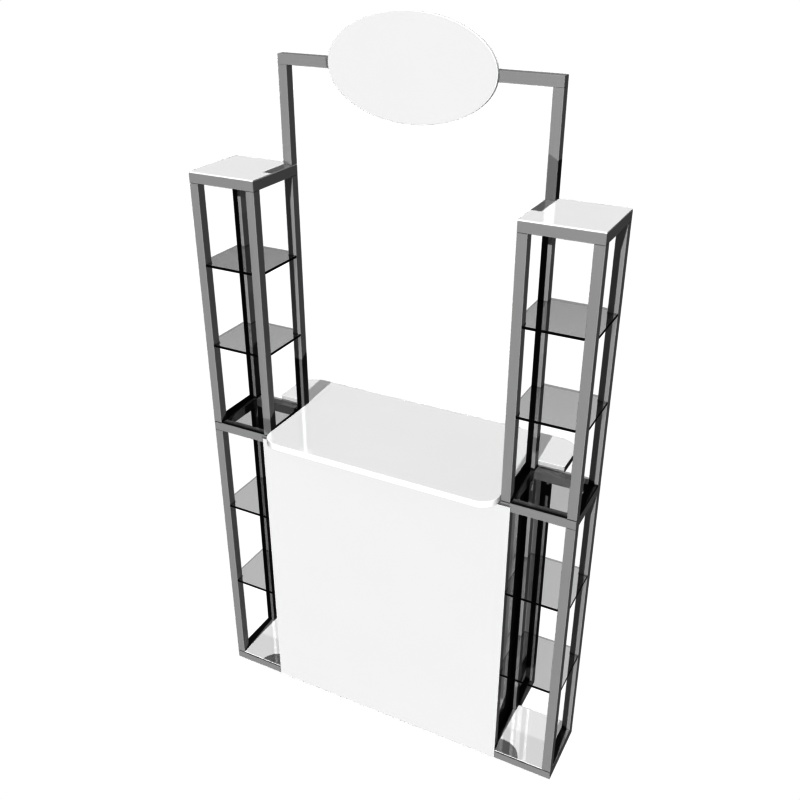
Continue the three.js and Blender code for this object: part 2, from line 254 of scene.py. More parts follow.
def gloss_white(name, dark, light):
    """A white that mirrors a share of the room, cloudy from dark to light and faintly rippled."""
    finish = Finish(name)
    place = finish.place()
    clouds = finish.noise(place, scale=LAMINATE_CLOUDS, detail=4.0)
    ripples = finish.noise(place, scale=LAMINATE_RIPPLES, detail=2.0)
    shader = finish.surface({
        "Base Color": finish.greys(clouds, dark, light),
        "Metallic": LAMINATE_MIRROR,
        "Roughness": clouds.between(*LAMINATE_ROUGH),
        "Specular IOR Level": 0.0,
        "Normal": finish.relief(ripples, strength=0.01, depth=0.0002),
    })
    return finish.show(shader)


laminate = gloss_white("white_laminate", dark=0.965, light=0.985)
# A greyer copy of the same white: painted shade for the upright boards and the sign.
upright_white_painted_shade = gloss_white("upright_white_painted_shade", dark=0.912, light=0.928)

# %% [markdown]
# ## Edge tape
# The boards' cut edges carry a matt tape, which looks whiter than the laminate because none of it is a
# mirror. One flat white would look like paint, so a fine grit varies its grey and its roughness. The black
# seats further on are dull in the same way, so the function takes the numbers that differ.

# %% Edge tape
def matt(name, grit, detail, greys, rough, specular):
    """A dull finish whose grey and roughness follow a grit of so many grains to the metre."""
    finish = Finish(name)
    grains = finish.noise(finish.place(), scale=grit, detail=detail)
    shader = finish.surface({
        "Base Color": finish.greys(grains, *greys),
        "Roughness": grains.between(*rough),
        "Specular IOR Level": specular,
    })
    return finish.show(shader)


tape = matt("edge_tape", grit=400.0, detail=3.0, greys=(0.75, 0.78), rough=(0.45, 0.65), specular=0.1)

# %% [markdown]
# ## Smoked glass
# Smoked glass takes a share of the light at each face and mirrors more of it the flatter it is looked at.
# A full glass shader would bend the light and turn the shelves' shadows black. Six millimetres of plate
# bend hardly anything, so each face lets tinted light straight through and mirrors a share of the rest
# that grows with the slant. The lamps' rays meet a clearer face, because the shelves' shadows in the
# photograph are faint. The shelf pegs are clear, of the same make.

# %% Smoked glass
STRAIGHT_MIRROR = 0.04
SLANT_POWER = 5.0
TINT = 0.877
CLEAR_TINT = 0.985
SHADOW_TINT = 0.936
HAZE = 14.0
HAZE_GREY = (0.92, 0.98)
HAZE_ROUGH = (0.01, 0.04)


def for_lamps(finish, seen):
    """The shader seen, with a clearer face in its place for rays from lamps."""
    lamp_ray = finish.add("ShaderNodeLightPath", {}, {}, "Is Shadow Ray")
    return finish.mix(lamp_ray, seen, finish.see_through(SHADOW_TINT))


def tinted_glass(name, tint):
    """Tinted light straight through, and a mirror whose share is m + (1 - m) * slant ** 5."""
    finish = Finish(name)
    haze = finish.noise(finish.place(), scale=HAZE, detail=4.0)
    mirror = finish.surface({
        "Base Color": finish.greys(haze, *HAZE_GREY),
        "Metallic": 1.0,
        "Roughness": haze.between(*HAZE_ROUGH),
    })
    slant = finish.add("ShaderNodeLayerWeight", {}, {}, "Facing")
    share = (slant ** SLANT_POWER).between(STRAIGHT_MIRROR, 1.0)
    seen = finish.mix(share, finish.see_through(tint), mirror)
    return finish.show(for_lamps(finish, seen))


glass = tinted_glass("smoked_glass", TINT)
peg_clear = tinted_glass("clear_peg", CLEAR_TINT)

# %% [markdown]
# ## Ground glass edges
# The cut edges look black from outside, because the light in them has come the long way through the tint,
# while an edge that is seen from inside the plate is hardly there. The edge could be left as glass, but
# then it would be as clear as the faces, so it is a dark ground surface that thins out from inside.

# %% Ground glass edges
EDGE_GRIT = 700.0
EDGE_GREY = (0.006, 0.016)
EDGE_ROUGH = (0.18, 0.30)
INSIDE_CLEAR = 0.8


def glass_edge():
    """A dark ground surface from outside, and mostly the tint alone from inside."""
    finish = Finish("glass_edge")
    ground = finish.noise(finish.place(), scale=EDGE_GRIT, detail=2.0)
    dark = finish.surface({
        "Base Color": finish.greys(ground, *EDGE_GREY),
        "Roughness": ground.between(*EDGE_ROUGH),
        "Normal": finish.relief(ground, strength=0.1, depth=0.0002),
    })
    inside = finish.add("ShaderNodeNewGeometry", {}, {}, "Backfacing")
    seen = finish.mix(inside * INSIDE_CLEAR, dark, finish.see_through(TINT))
    return finish.show(for_lamps(finish, seen))


edge = glass_edge()

# %% [markdown]
# ## Black seats
# A thin black seat between two tubes shows as a dark hairline at each joint. Its black is painted shade:
# the shade of the gap. The gap could be left open, but then light would fall through it. The seat is
# moulded and dull, with a fine grit.

# %% Black seats
black_painted_shade = matt(
    "black_seat_painted_shade", grit=900.0, detail=2.0, greys=(0.01, 0.03), rough=(0.55, 0.75), specular=0.5)

# %% [markdown]
# ## Shapes from numpy
# Only three shapes are needed. A plate is an edge profile carried round an outline, a tube is a square
# section carried along a line, and a ring is the same section carried round a square with mitred corners.
# Each is a grid of points worked out in one go, and together with its faces, its grain map and its faces'
# finishes it is called a shell. A modifier could bevel a box instead, but a formula gives the same edge on
# every piece, keeps the size exact, and lets the grain map follow the surface.

# %% Grids
# A face names its finish by that finish's place in the piece's list.
Shell = namedtuple("Shell", "points faces grain smooth finish")
FIRST, SECOND, THIRD = range(3)
AXES = {"x": 0, "y": 1, "z": 2}


def grid_cells(rows, columns, close_rows):
    """Row and column of the four corners of each cell. Columns always close, and rows close if asked."""
    strips = rows if close_rows else rows - 1
    row, column = np.meshgrid(np.arange(strips), np.arange(columns), indexing="ij")
    cells = np.stack([row, row, row + 1, row + 1], axis=-1).reshape(-1, 4)
    sides = np.stack([column, column + 1, column + 1, column], axis=-1).reshape(-1, 4)
    return cells, sides


def lengths_along(points):
    """Distance of each point of a closed line from its first point, and last the whole way round."""
    steps = np.linalg.norm(np.roll(points, -1, axis=0) - points, axis=1)
    return np.concatenate([[0.0], np.cumsum(steps)])


def stacked(outlines, heights, axis):
    """The points of a stack of outlines, each at its own height along the axis.

    An outline is given in the two directions that follow the axis in the order x, y, z, x.
    """
    rise = np.broadcast_to(heights[:, None, None], (*outlines.shape[:2], 1))
    return np.roll(np.concatenate([outlines, rise], axis=2), AXES[axis] + 1, axis=2).reshape(-1, 3)


# %% [markdown]
# ## Outlines
# An outline is a closed line in a plane, such as a board seen from above or a tube seen from its end. Its
# corners could be left sharp for a bevel later, but here they are rounded by formula, with a short straight
# strip beside each arc, because smooth shading would otherwise bend across the flats.

# %% Outlines
HOLD = 0.15


def rounded(corners, radii, steps):
    """An outline of square corners, each rounded to a quarter circle.

    With unit directions in and out of a corner p, point(t) = p + r * (out - in - cos t * out + sin t * in).
    A short straight strip on both sides of each arc keeps the shading of the flats flat.
    """
    corners = np.asarray(corners, float)
    radii = np.broadcast_to(radii, len(corners))[:, None, None]
    ahead = np.roll(corners, -1, axis=0) - corners
    leaving = (ahead / np.linalg.norm(ahead, axis=1, keepdims=True))[:, None]
    arriving = np.roll(leaving, 1, axis=0)
    turn = np.linspace(0, math.pi / 2, steps + 1)[None, :, None]
    bend = leaving - arriving - np.cos(turn) * leaving + np.sin(turn) * arriving
    bend = np.concatenate([(1 + HOLD) * bend[:, :1], bend, (1 + HOLD) * bend[:, -1:]], axis=1)
    return (corners[:, None] + radii * bend).reshape(-1, 2)


def rectangle(low, high):
    """The four corners of a rectangle, anticlockwise from its lowest."""
    return np.array([low, (high[0], low[1]), high, (low[0], high[1])], float)


def oval(middle, half, count):
    """An oval of count points: point(t) = middle + half * (cos t, sin t)."""
    turn = np.linspace(0, 2 * math.pi, count, endpoint=False)
    return np.asarray(middle) + half * np.stack([np.cos(turn), np.sin(turn)], axis=1)


def mitres(outline):
    """For each point of an outline, the step that moves both its edges inwards by one."""
    ahead = np.roll(outline, -1, axis=0) - outline
    ahead = ahead / np.linalg.norm(ahead, axis=1, keepdims=True)
    inward = np.stack([-ahead[:, 1], ahead[:, 0]], axis=1)
    before = np.roll(inward, 1, axis=0)
    return (before + inward) / (1 + (before * inward).sum(axis=1, keepdims=True))


# %% [markdown]
# ## Plates and bars
# A board's edge is never a perfect corner: it is eased by a cutter, glass by a stone. The profile climbs
# the side of the plate, a quarter round at each end of it and a short straight strip beside each quarter
# round, which keeps the shading of the flat side flat. The mitres keep the easing even round inner corners.

# %% Plates and bars
EASE_STEPS = 4


def eased_side(height, ease, steps):
    """A plate's side from bottom to top as (inset, rise): quarter round, straight side, quarter round."""
    turn = np.linspace(0, math.pi / 2, steps + 1)
    low = np.stack([ease * (1 - np.sin(turn)), ease * (1 - np.cos(turn))], axis=1)
    low = np.concatenate([low, [(0.0, ease * (1 + HOLD))]])
    high = np.stack([low[::-1, 0], height - low[::-1, 1]], axis=1)
    return np.concatenate([low, high])


def plate(outline, base, height, ease, axis="z", steps=EASE_STEPS, rim=FIRST, face=FIRST):
    """A closed plate or bar: its side profile carried round an outline, with a flat face at each end.

    point(u, v) = outline(u) + inset(v) * mitre(u), at base + rise(v) along the axis. rim is the place of
    the side's finish in the piece's list, or one such place for each stretch of the outline.
    """
    side = eased_side(height, ease, steps)
    count = len(outline)
    flat = outline[None] + side[:, :1, None] * mitres(outline)[None]
    points = stacked(flat, base + side[:, 1], axis)
    row, column = grid_cells(len(side), count, close_rows=False)
    walls = row * count + column % count
    bottom = np.arange(count)[::-1]
    top = np.arange(count) + (len(side) - 1) * count
    side_grain = np.stack([side[row, 1], lengths_along(outline)[column]], axis=-1).reshape(-1, 2)
    faces = [*walls.tolist(), bottom.tolist(), top.tolist()]
    grain = np.concatenate([side_grain, flat[0][::-1], flat[-1]])
    smooth = [True] * len(walls) + [False, False]
    rims = np.broadcast_to(rim, count)[column[:, 0]].tolist()
    return Shell(points, faces, grain, smooth, [*rims, face, face])


# %% [markdown]
# ## Tubes
# Square tube has a small outer radius and a thin wall. A solid bar would look the same until an end shows,
# so a straight tube is a true pipe: its profile turns in at both ends and goes back along the inside.

# %% Tubes
TUBE_WALL = 0.002
TUBE_END = 0.0004
CORNER_STEPS = 4
INNER_CORNER = 0.0002


def tube_section(inset):
    """The tube's outline about its middle, moved in by inset: a square with round corners."""
    half = TUBE / 2 - inset
    radius = max(TUBE_CORNER - inset, INNER_CORNER)
    return rounded(rectangle((-half, -half), (half, half)), radius, CORNER_STEPS)


def tube_shell(points, along):
    """The shell of sections round a closed path, along being each section's way from the first."""
    stations = len(along) - 1
    count = len(points) // stations
    row, column = grid_cells(stations, count, close_rows=True)
    faces = (row % stations) * count + column % count
    around = lengths_along(tube_section(0))
    grain = np.stack([along[row], around[column]], axis=-1).reshape(-1, 2)
    return Shell(points, faces.tolist(), grain, [True] * len(faces), [FIRST] * len(faces))


def tube(middle, low, high, axis):
    """An open tube as a closed grid: out and up the outer wall, over the end, down the inner wall and back.

    point(u, v) = middle + section(u, inset(v)), at rise(v) along the axis.
    """
    side = np.array([
        (0, low + TUBE_END), (0, high - TUBE_END), (TUBE_END, high), (TUBE_WALL, high),
        (TUBE_WALL, low), (TUBE_END, low),
    ])
    flat = np.stack([tube_section(inset) for inset in side[:, 0]]) + np.asarray(middle)
    return tube_shell(stacked(flat, side[:, 1], axis), lengths_along(side))


print("tube girth", lengths_along(tube_section(0))[-1], "and by formula", TUBE_GIRTH)

# %% [markdown]
# ## Mitred rings
# A tower's ring is four lengths of tube cut at forty-five degrees and welded, then ground flush. Four
# separate tubes could meet there, but a ring in one piece has no ends to hide. What is left to see of the
# joint is a hairline, and three sections near each corner cut it as a shallow groove.

# %% Mitred rings
GROOVE = 0.0003


def ring(low, high, base):
    """A mitred ring of tube: the tube's section carried round a rectangle in plan, closed both ways.

    point = corner(k) + shift(s) + a * mitre(k), at base + TUBE / 2 + b, where (a, b) is the section with a
    pointing out of the ring. At each corner s steps back, on and past the mitre, and on it the section is
    smaller by the groove.
    """
    middle = rectangle(np.asarray(low) + TUBE / 2, np.asarray(high) - TUBE / 2)
    ahead = np.roll(middle, -1, axis=0) - middle
    leaving = ahead / np.linalg.norm(ahead, axis=1, keepdims=True)
    arriving = np.roll(leaving, 1, axis=0)
    shift = GROOVE * np.stack([-arriving, 0 * leaving, leaving], axis=1)
    section = np.stack([tube_section(inset)[::-1] for inset in (0, GROOVE, 0)])
    outward = -mitres(middle)
    plan = middle[:, None, None] + shift[:, :, None] + section[None, :, :, :1] * outward[:, None, None]
    rise = np.broadcast_to(base + TUBE / 2 + section[None, :, :, 1:], (*plan.shape[:3], 1))
    points = np.concatenate([plan, rise], axis=3).reshape(-1, 3)
    path = (middle[:, None] + shift).reshape(-1, 2)
    return tube_shell(points, lengths_along(path))


# %% [markdown]
# ## From shells to pieces
# A piece can be several closed shells, such as a tube and the pegs in it. They are joined into one mesh at
# the origin, which rides on the station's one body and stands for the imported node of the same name.

# %% Make a piece
SHARP_ANGLE = math.radians(35)
made = []


def make_piece(node, shells, finishes):
    """One mesh of all the shells, with their points numbered through, in place of the node."""
    points = np.concatenate([shell.points for shell in shells])
    starts = np.cumsum([0] + [len(shell.points) for shell in shells])
    faces = [
        [start + corner for corner in face]
        for start, shell in zip(starts, shells)
        for face in shell.faces
    ]
    mesh = bpy.data.meshes.new(f"finished_{node}")
    mesh.from_pydata(points.tolist(), [], faces)
    grain = np.concatenate([shell.grain for shell in shells]).astype(np.float32)
    mesh.uv_layers.new(name=GRAIN).data.foreach_set("uv", grain.ravel())
    mesh.set_sharp_from_angle(angle=SHARP_ANGLE)
    mesh.polygons.foreach_set("use_smooth", sum([shell.smooth for shell in shells], []))
    mesh.polygons.foreach_set("material_index", sum([shell.finish for shell in shells], []))
    for finish in finishes:
        mesh.materials.append(finish)
    piece = bpy.data.objects.new(mesh.name, mesh)
    bpy.context.scene.collection.objects.link(piece)
    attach(piece, "root")
    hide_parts(node)
    made.append(piece)


# %% [markdown]
# ## The towers' places
# Everything in a tower follows from its square in plan, which the cap board covers, and from the heights
# where the uprights start and stop. The numbers could be typed in again, but they are read from the packed
# nodes, so that no piece can drift from its place.

# %% The towers' places
SIDES = {"left": -1, "right": 1}
DEPTHS = {"front": 0, "rear": 1}
CORNERS = [(depth, across) for depth in DEPTHS for across in ("inner", "outer")]


def corners_of(node):
    """The lowest and the highest corner of a node's box, as arrays."""
    return [np.array(corner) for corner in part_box(node)]


def level_of(node):
    """A node's lowest height, and how high it is."""
    low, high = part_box(node)
    return low.z, high.z - low.z


def tower_plan(side):
    """The lowest and the highest corner of a tower in plan."""
    low, high = corners_of(f"{side}_tower_cap_board")
    return low[:2], high[:2]


def upright_middle(side, depth, across):
    """The middle of an upright in plan: depth is front or rear, across is inner or outer."""
    low, high = tower_plan(side)
    at_high_x = (across == "outer") == (SIDES[side] > 0)
    x = high[0] - TUBE / 2 if at_high_x else low[0] + TUBE / 2
    y = high[1] - TUBE / 2 if DEPTHS[depth] else low[1] + TUBE / 2
    return np.array([x, y])


print("tower plans", [tower_plan(side) for side in SIDES])

# %% [markdown]
# ## Seats on the frames
# The uprights stand on black collars, almost flush with the tube, whose black is painted shade: the dark
# line of the gap at every foot. The floor board lies on low pads at the same height, and a black strip,
# painted shade as well, closes the gap under its edges. The middle glass lies on aluminium strips as wide
# as the rails. All are small blocks, each a plate with its foot just inside the rail, so that no gap can
# open between the two.

# %% Seats on the frames
SEAT_ROOT = 0.001
SEAT_EASE = 0.0003
COLLAR_SETBACK = 0.0003
COLLAR = np.full(2, TUBE / 2 - COLLAR_SETBACK)
PAD = np.array([0.012, 0.006])
PAD_SPREAD = 0.045
PAD_ROUND = 0.002
STRIP_ROUND = 0.0005


def seat_block(middle, half, base, top, finish=SECOND, corner=PAD_ROUND):
    """A block from just under base up to top, half its size to each side of its middle in plan."""
    outline = rounded(rectangle(middle - half, middle + half), corner, CORNER_STEPS)
    low = base - SEAT_ROOT
    return plate(outline, low, top - low, SEAT_EASE, rim=finish, face=finish)


def collars(side, base, top):
    """Collars under the four uprights, their black painted shade at the joint."""
    return [seat_block(upright_middle(side, *corner), COLLAR, base, top) for corner in CORNERS]


def board_pads(side, base, top):
    """Pads under the floor board, two on the front rail and two on the rear one."""
    low, high = tower_plan(side)
    centre = (low + high) / 2
    to_rail = (high - low)[1] / 2 - TUBE / 2
    spots = [centre + (way * PAD_SPREAD, end * to_rail) for way in (-1, 1) for end in (-1, 1)]
    return [seat_block(spot, PAD, base, top, finish=FIRST) for spot in spots]


def edge_strips(side, base, top, edges, half, finish):
    """Strips on some edges of a ring, between the uprights and flush with the rails' outer faces.

    A strip's middle is centre + out * way. It reaches half to each side along its way and run across it.
    """
    low, high = tower_plan(side)
    centre = (low + high) / 2
    out = (high - low) / 2 - half
    run = (high - low) / 2 - TUBE
    ways = {"front": (0, -1), "rear": (0, 1), "outer": (SIDES[side], 0), "inner": (-SIDES[side], 0)}
    strips = []
    for name in edges:
        way = np.array(ways[name])
        size = np.where(way == 0, run, half)
        strips.append(seat_block(centre + out * way, size, base, top, finish, STRIP_ROUND))
    return strips


# %% [markdown]
# ## Mitred frames
# Each tower has three rings: one on the floor, one at the height of the worktop and one under the cap. The
# two lower ones carry seats for what stands on them. A ring and its seats are one piece, as they are when
# the seats are glued on.

# %% Mitred frames
STRIP = 0.0015
STRIP_CLEAR = 0.0001
# The strips under the floor board are black, painted shade in its gap; those under the middle glass are
# aluminium.
STRIPS = {
    "bottom": (("front", "rear", "outer"), STRIP, SECOND),
    "mid": (("front", "rear", "outer", "inner"), TUBE / 2, FIRST),
}

for side in SIDES:
    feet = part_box(f"{side}_tower_lower_upright_front_outer")
    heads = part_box(f"{side}_tower_upper_upright_front_outer")
    levels = {"bottom": (0.0, feet[0].z), "mid": (feet[1].z, heads[0].z), "top": (heads[1].z, None)}
    for level, (base, seat) in levels.items():
        shells = [ring(*tower_plan(side), base)]
        rail_top = base + TUBE
        if seat:
            shells += collars(side, rail_top, seat)
            shells += edge_strips(side, rail_top, seat - STRIP_CLEAR, *STRIPS[level])
        if level == "bottom":
            shells += board_pads(side, rail_top, seat)
        make_piece(f"{side}_tower_{level}_frame", shells, [aluminium, black_painted_shade])
print("frames", len(made))

# %% [markdown]
# ## Pegs and stops
# Short clear pegs on the uprights hold the glass up from below. Where an upright or a post borders the
# counter it also carries a thin strip, which the side panel is pressed against from inside, and a peg for
# the counter's inner shelf. They could be pieces of their own, but they never leave the tube, so each is a
# shell with its root in the tube's wall.

# %% Pegs and stops
PEG = 0.006
PEG_REACH = 0.009
PEG_INSET = 0.006
PEG_EASE = 0.0008
PEG_SIDES = 24
WALL_ROOT = 0.001
STOP = 0.004
STOP_EASE = 0.0003
STOP_END_GAP = 0.030
STOP_CLEAR = 0.0003


def peg(middle, low, high, axis, finish=FIRST):
    """A round bar with eased ends; middle is in the two directions that follow the axis."""
    outline = oval(middle, PEG / 2, PEG_SIDES)
    return plate(outline, low, high - low, PEG_EASE, axis, rim=finish, face=finish)


def reach_from(face, way, reach):
    """Low and high ends of a fitting that stands on a face and reaches along way, rooted in the wall."""
    return sorted((face - way * WALL_ROOT, face + way * reach))


def shelf_peg(side, depth, across, under):
    """A peg on the upright's face towards the tower's middle, its top under a shelf."""
    x, y = upright_middle(side, depth, across)
    towards = SIDES[side] * (1 if across == "inner" else -1)
    way = -1 if DEPTHS[depth] else 1
    low, high = reach_from(y + way * TUBE / 2, way, PEG_REACH)
    middle = (under - PEG / 2, x + towards * (TUBE / 2 - PEG_INSET))
    return peg(middle, low, high, "y", finish=THIRD)


def inner_peg(side, middle):
    """A peg on the counter side of an upright or post, under the inner shelf."""
    way = -SIDES[side]
    low, high = reach_from(middle[0] + way * TUBE / 2, way, PEG_REACH)
    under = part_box("inner_shelf")[0].z - PEG / 2
    return peg((middle[1], under), low, high, "x")


def panel_stop(side, middle, way, low, high):
    """A strip outside the counter's side panel, on the front or rear face of an upright or post."""
    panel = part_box(f"{side}_side_panel_front")
    face = panel[1].x if SIDES[side] > 0 else panel[0].x
    ends = sorted((face + SIDES[side] * STOP_CLEAR, face + SIDES[side] * (STOP_CLEAR + STOP)))
    start, stop = reach_from(middle[1] + way * TUBE / 2, way, STOP)
    outline = rectangle((ends[0], start), (ends[1], stop))
    return plate(outline, low + STOP_END_GAP, high - low - 2 * STOP_END_GAP, STOP_EASE)


# %% [markdown]
# ## Uprights
# Each tower has four lower and four upper uprights of plain tube, with a thin black seat on each head,
# whose black is painted shade at the joint. The four of a set differ only in where their fittings stand,
# so one loop makes them all.

# %% Uprights
HEAD_SEAT = 0.00045

for side in SIDES:
    for half in ("lower", "upper"):
        unders = [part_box(f"{side}_tower_{half}_shelf_{level}")[0].z for level in (1, 2)]
        for depth, across in CORNERS:
            node = f"{side}_tower_{half}_upright_{depth}_{across}"
            middle = upright_middle(side, depth, across)
            low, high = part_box(node)[0].z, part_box(node)[1].z
            head = high - HEAD_SEAT
            # The seat on the head is black, painted shade at the joint.
            shells = [tube(middle, low, head, "z"), seat_block(middle, COLLAR, head, high)]
            shells += [shelf_peg(side, depth, across, under) for under in unders]
            if half == "lower" and across == "inner":
                ways = (-1, 1) if DEPTHS[depth] else (1,)
                shells += [panel_stop(side, middle, way, low, high) for way in ways]
                shells.append(inner_peg(side, middle))
            make_piece(node, shells, [aluminium, black_painted_shade, peg_clear])
print("frames and uprights", len(made))

# %% [markdown]
# ## Glass and boards of the towers
# The shelves are notched at the corners so that they pass between the uprights and end flush with them.
# The notches could be cut by a modifier, but an outline that steps round the uprights needs no cutting.
# The edges are ground to a small flat, and only the broad faces are clear. The plate on the middle frame
# has a black rim, except at the rear, which is painted shade along its edge. The floor board is notched the
# same way, while the cap is a plain square.

# %% Glass and boards of the towers
NOTCH_CLEAR = 0.0003
GLASS_EASE = 0.0006
BOARD_EASE = 0.0008
BOARD_ROUND = 0.0012
REAR_STRETCH = 6


def notched_outline(side, node):
    """The node's rectangle, less a square at each corner that is as large as an upright and its clearance.

    It starts at the front, so its stretch REAR_STRETCH is the rear edge.
    """
    low, high = corners_of(node)
    plan_low, plan_high = tower_plan(side)
    inner_low = plan_low + TUBE + NOTCH_CLEAR
    inner_high = plan_high - TUBE - NOTCH_CLEAR
    xs = (low[0], inner_low[0], inner_high[0], high[0])
    ys = (low[1], inner_low[1], inner_high[1], high[1])
    order = [(1, 0), (2, 0), (2, 1), (3, 1), (3, 2), (2, 2), (2, 3), (1, 3), (1, 2), (0, 2), (0, 1), (1, 1)]
    return np.array([(xs[i], ys[k]) for i, k in order])


def pane(outline, node, rim):
    """A glass plate at the node's height, its edges ground to one flat."""
    return plate(outline, *level_of(node), GLASS_EASE, steps=1, rim=rim)


for side in SIDES:
    shelves = [f"{side}_tower_{half}_shelf_{level}" for half in ("lower", "upper") for level in (1, 2)]
    for node in shelves:
        make_piece(node, [pane(notched_outline(side, node), node, SECOND)], [glass, edge])
    mid_glass = f"{side}_tower_mid_glass"
    outline = notched_outline(side, mid_glass)
    # The rim is black, painted shade along the edge, except on the rear stretch.
    rims = np.where(np.arange(len(outline)) == REAR_STRETCH, SECOND, THIRD)
    make_piece(mid_glass, [pane(outline, mid_glass, rims)], [glass, edge, black_painted_shade])
    floor_board = f"{side}_tower_floor_board"
    shell = plate(notched_outline(side, floor_board), *level_of(floor_board), BOARD_EASE, rim=SECOND)
    make_piece(floor_board, [shell], [laminate, tape])
    cap_board = f"{side}_tower_cap_board"
    outline = rounded(rectangle(*tower_plan(side)), BOARD_ROUND, CORNER_STEPS)
    shell = plate(outline, *level_of(cap_board), BOARD_EASE, rim=SECOND)
    make_piece(cap_board, [shell], [laminate, tape])
print("with glass and boards", len(made))

# %% [markdown]
# ## The counter's boards
# The worktop is a thick board in the shape of a T: it fits between the towers at the front, where its
# corners are round, and spreads into wings behind them. It could be joined from two boards, but the real
# one shows no seam, so one outline goes all round it. Its edge is eased more than the thin panels' are.
# The front panel, the side panels and the two boards inside are plain rectangles with eased edges.

# %% The counter's boards
WORKTOP_EASE = 0.0010
WORKTOP_FRONT_RADIUS = 0.050
WORKTOP_REAR_RADIUS = 0.060
WORKTOP_STEPS = 20
WORKTOP_CLEAR = 0.0003


def worktop_outline():
    """The T in plan, anticlockwise from the front left, with its front and rear corners round."""
    low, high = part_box("worktop")
    left_high = tower_plan("left")[1]
    right_low = tower_plan("right")[0]
    neck = (left_high[0] + WORKTOP_CLEAR, right_low[0] - WORKTOP_CLEAR)
    shoulder = left_high[1] + WORKTOP_CLEAR
    corners = [
        (neck[0], low.y), (neck[1], low.y), (neck[1], shoulder), (high.x, shoulder),
        (high.x, high.y), (low.x, high.y), (low.x, shoulder), (neck[0], shoulder),
    ]
    front, rear, small = WORKTOP_FRONT_RADIUS, WORKTOP_REAR_RADIUS, 2 * WORKTOP_EASE
    return rounded(corners, [front, front, small, small, rear, rear, small, small], WORKTOP_STEPS)


def across_from(axis):
    """The numbers of the two directions that follow an axis."""
    return [(AXES[axis] + 1) % 3, (AXES[axis] + 2) % 3]


def eased_board(node, axis):
    """A rectangular board that fills its node's box, its broad faces across the axis."""
    low, high = corners_of(node)
    across = across_from(axis)
    outline = rounded(rectangle(low[across], high[across]), BOARD_ROUND, CORNER_STEPS)
    return plate(outline, low[AXES[axis]], (high - low)[AXES[axis]], BOARD_EASE, axis, rim=SECOND)


worktop_shell = plate(worktop_outline(), *level_of("worktop"), WORKTOP_EASE, rim=SECOND)
make_piece("worktop", [worktop_shell], [laminate, tape])
boards = {"front_panel": "y", "base_board": "z", "inner_shelf": "z"}
for side in SIDES:
    boards[f"{side}_side_panel_front"] = "x"
    boards[f"{side}_side_panel_rear"] = "x"
for node, axis in boards.items():
    # Upright boards take the greyer copy of the white, which is painted shade.
    face = laminate if axis == "z" else upright_white_painted_shade
    make_piece(node, [eased_board(node, axis)], [face, tape])
print("with the counter's boards", len(made))

# %% [markdown]
# ## The counter's rails and posts
# Rails of the same tube tie the towers to two posts at the back of the counter, and the worktop lies on
# them. A rail's node is its tube and no more, so its box gives the tube's middle and its two ends. A post
# carries fittings that widen its box, so its middle is taken from the tower beside it.

# %% The counter's rails and posts
def rail(node, axis):
    """A tube along the axis that fills its node's box."""
    low, high = corners_of(node)
    middle = (low + high)[across_from(axis)] / 2
    return tube(middle, low[AXES[axis]], high[AXES[axis]], axis)


rails = {f"{end}_{level}_rail": "x" for end in DEPTHS for level in ("top", "bottom")}
for side in SIDES:
    rails[f"{side}_side_top_rail"] = "y"
    rails[f"{side}_side_bottom_rail"] = "y"
for node, axis in rails.items():
    make_piece(node, [rail(node, axis)], [aluminium])

for side in SIDES:
    node = f"{side}_rear_post"
    low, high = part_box(node)
    x = upright_middle(side, "rear", "inner")[0]
    middle = np.array([x, high.y - TUBE / 2])
    stop_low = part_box(f"{side}_side_panel_rear")[0].z
    stop_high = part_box(f"{side}_side_panel_rear")[1].z
    shells = [tube(middle, low.z, high.z, "z"), inner_peg(side, middle)]
    shells.append(panel_stop(side, middle, -1, stop_low, stop_high))
    make_piece(node, shells, [aluminium])
print("with rails and posts", len(made))

# %% [markdown]
# ## The arch and its sign
# Two posts stand on the caps and carry a bar. Open tube would show its ends high up, so the bar is closed,
# as a plate of the tube's section carried along x. The sign is a flat oval on the front of the bar. It is
# left blank, and its edge is eased like the boards'.

# %% The arch and its sign
BAR_EASE = 0.0006
SIGN_EASE = 0.0010
SIGN_POINTS = 160

for side in SIDES:
    node = f"{side}_arch_post"
    middle = upright_middle(side, "rear", "inner")
    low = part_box(node)[0].z
    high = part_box("arch_bar")[0].z
    make_piece(node, [tube(middle, low, high, "z")], [aluminium])

bar_low, bar_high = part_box("arch_bar")
bar_middle = np.array([bar_low.y + bar_high.y, bar_low.z + bar_high.z]) / 2
bar_shell = plate(tube_section(0) + bar_middle, bar_low.x, bar_high.x - bar_low.x, BAR_EASE, "x")
make_piece("arch_bar", [bar_shell], [aluminium])

sign_low, sign_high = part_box("oval_sign")
sign_half = np.array([sign_high.z - sign_low.z, sign_high.x - sign_low.x]) / 2
sign_middle = np.array([sign_high.z + sign_low.z, sign_high.x + sign_low.x]) / 2
sign_outline = oval(sign_middle, sign_half, SIGN_POINTS)
sign_shell = plate(sign_outline, sign_low.y, sign_high.y - sign_low.y, SIGN_EASE, "y", rim=SECOND)
make_piece("oval_sign", [sign_shell], [upright_white_painted_shade, tape])
print("all pieces", len(made))

# %% [markdown]
# ## The camera
# The photograph looks down on the station from the front right. Its lens and place were worked out from the
# edges of the towers, whose verticals run together towards the floor. The small shift puts the middle of
# the lens where the photograph has it.

# %% The camera
CAMERA_PLACE = (1.0475, -2.0305, 2.2385)
CAMERA_TURN = (62.209, -0.047, 27.499)
CAMERA_LENS = 42.354
SENSOR = 36.0
CAMERA_SHIFT = (-0.0022, 0.0024)

camera_data = bpy.data.cameras.new("camera")
camera_data.lens = CAMERA_LENS
camera_data.sensor_width = SENSOR
camera_data.shift_x, camera_data.shift_y = CAMERA_SHIFT
camera = bpy.data.objects.new("camera", camera_data)
camera.location = CAMERA_PLACE
camera.rotation_euler = [math.radians(angle) for angle in CAMERA_TURN]
bpy.context.scene.collection.objects.link(camera)
bpy.context.scene.camera = camera
print("camera at", CAMERA_PLACE, "with a lens of", CAMERA_LENS, "mm")

